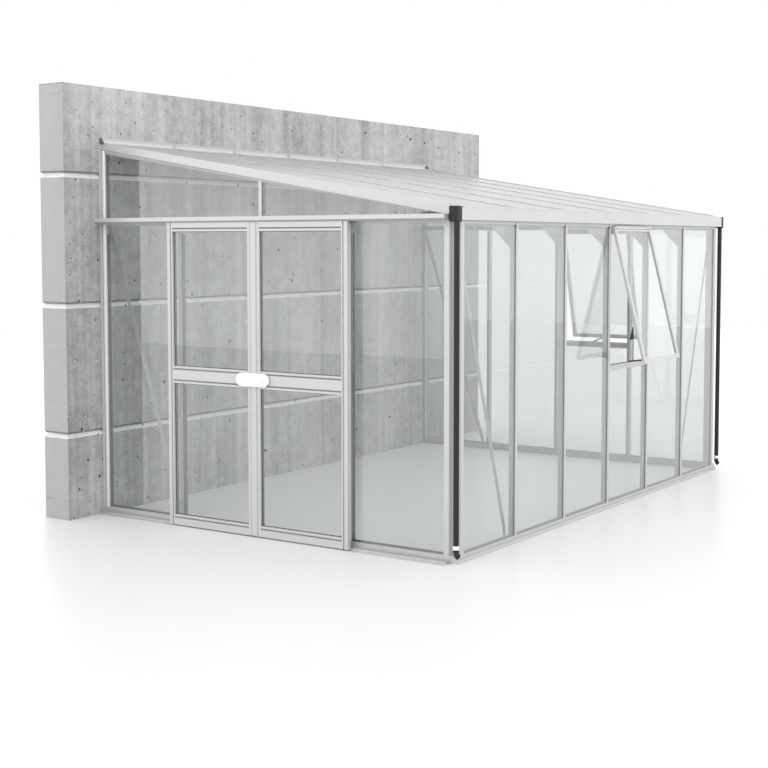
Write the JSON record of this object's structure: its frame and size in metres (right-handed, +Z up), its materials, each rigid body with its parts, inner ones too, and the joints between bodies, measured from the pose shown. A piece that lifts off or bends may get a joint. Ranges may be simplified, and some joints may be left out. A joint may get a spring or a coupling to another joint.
{
  "type": "lean-to greenhouse",
  "caption": "Glazed lean-to against a concrete wall, with a sloped glass roof, sliding double door, open top-hung vents, gutter and downpipes.",
  "frame": {"origin": "middle of the footprint's bounding box, on the ground", "axes": "+X along the wall from the door gable to the far gable, +Y from the eaves to the wall, +Z up"},
  "size_m": [5.98, 3.6524, 3.221],
  "materials": {
    "concrete": "cast concrete, matt, mottled grey",
    "frame_aluminium": "satin mill finish",
    "flashing_aluminium": "satin mill finish",
    "gutter_white": "pale satin",
    "black_plastic": "matt black",
    "white_plastic": "white",
    "dark_metal": "dark satin",
    "roller_nylon": "matt grey nylon",
    "wall_glass": "clear float glass",
    "roof_glass": "clear float glass"
  },
  "bodies": {
    "frame": {"backing_wall": "concrete", "front_sill": "frame_aluminium", "near_sill": "frame_aluminium", "far_sill": "frame_aluminium", "near_corner_post": "frame_aluminium", "far_corner_post": "frame_aluminium", "near_wall_post": "frame_aluminium", "far_wall_post": "frame_aluminium", "eaves_bars": "frame_aluminium", "far_gable_bars": "frame_aluminium", "door_posts": "frame_aluminium", "gable_transoms": "frame_aluminium", "gable_mullions": "frame_aluminium", "eaves_beam": "frame_aluminium", "near_verge": "frame_aluminium", "far_verge": "frame_aluminium", "roof_bars": "frame_aluminium", "wall_plate": "frame_aluminium", "flashing": "flashing_aluminium", "vent_transoms": "frame_aluminium", "wind_braces": "frame_aluminium", "knee_gussets": "frame_aluminium", "gutter": "gutter_white", "gutter_outlets": "black_plastic", "downpipes": "black_plastic", "pipe_clips": "white_plastic", "roof_glass": "roof_glass", "eaves_glass": "wall_glass", "near_gable_glass": "wall_glass", "far_gable_glass": "wall_glass", "eaves_vent_stiles": "frame_aluminium", "eaves_vent_rails": "frame_aluminium", "eaves_vent_glass": "wall_glass", "far_vent_stiles": "frame_aluminium", "far_vent_rails": "frame_aluminium", "far_vent_glass": "wall_glass", "vent_stays": "dark_metal", "door_head_track": "frame_aluminium", "door_floor_track": "frame_aluminium"},
    "wall_leaf": {"wall_leaf_stiles": "frame_aluminium", "wall_leaf_rails": "frame_aluminium", "wall_leaf_glass": "wall_glass", "wall_leaf_rollers": "roller_nylon"},
    "corner_leaf": {"corner_leaf_stiles": "frame_aluminium", "corner_leaf_rails": "frame_aluminium", "corner_leaf_glass": "wall_glass", "corner_leaf_rollers": "roller_nylon", "door_handle": "white_plastic"}
  },
  "joints": [
    {"name": "wall_leaf_slide", "type": "slide", "parent": "frame", "child": "wall_leaf", "axis": [0, 1, 0], "range_m": [0, 0.715]},
    {"name": "corner_leaf_slide", "type": "slide", "parent": "frame", "child": "corner_leaf", "axis": [0, -1, 0], "range_m": [0, 0.715]}
  ]
}
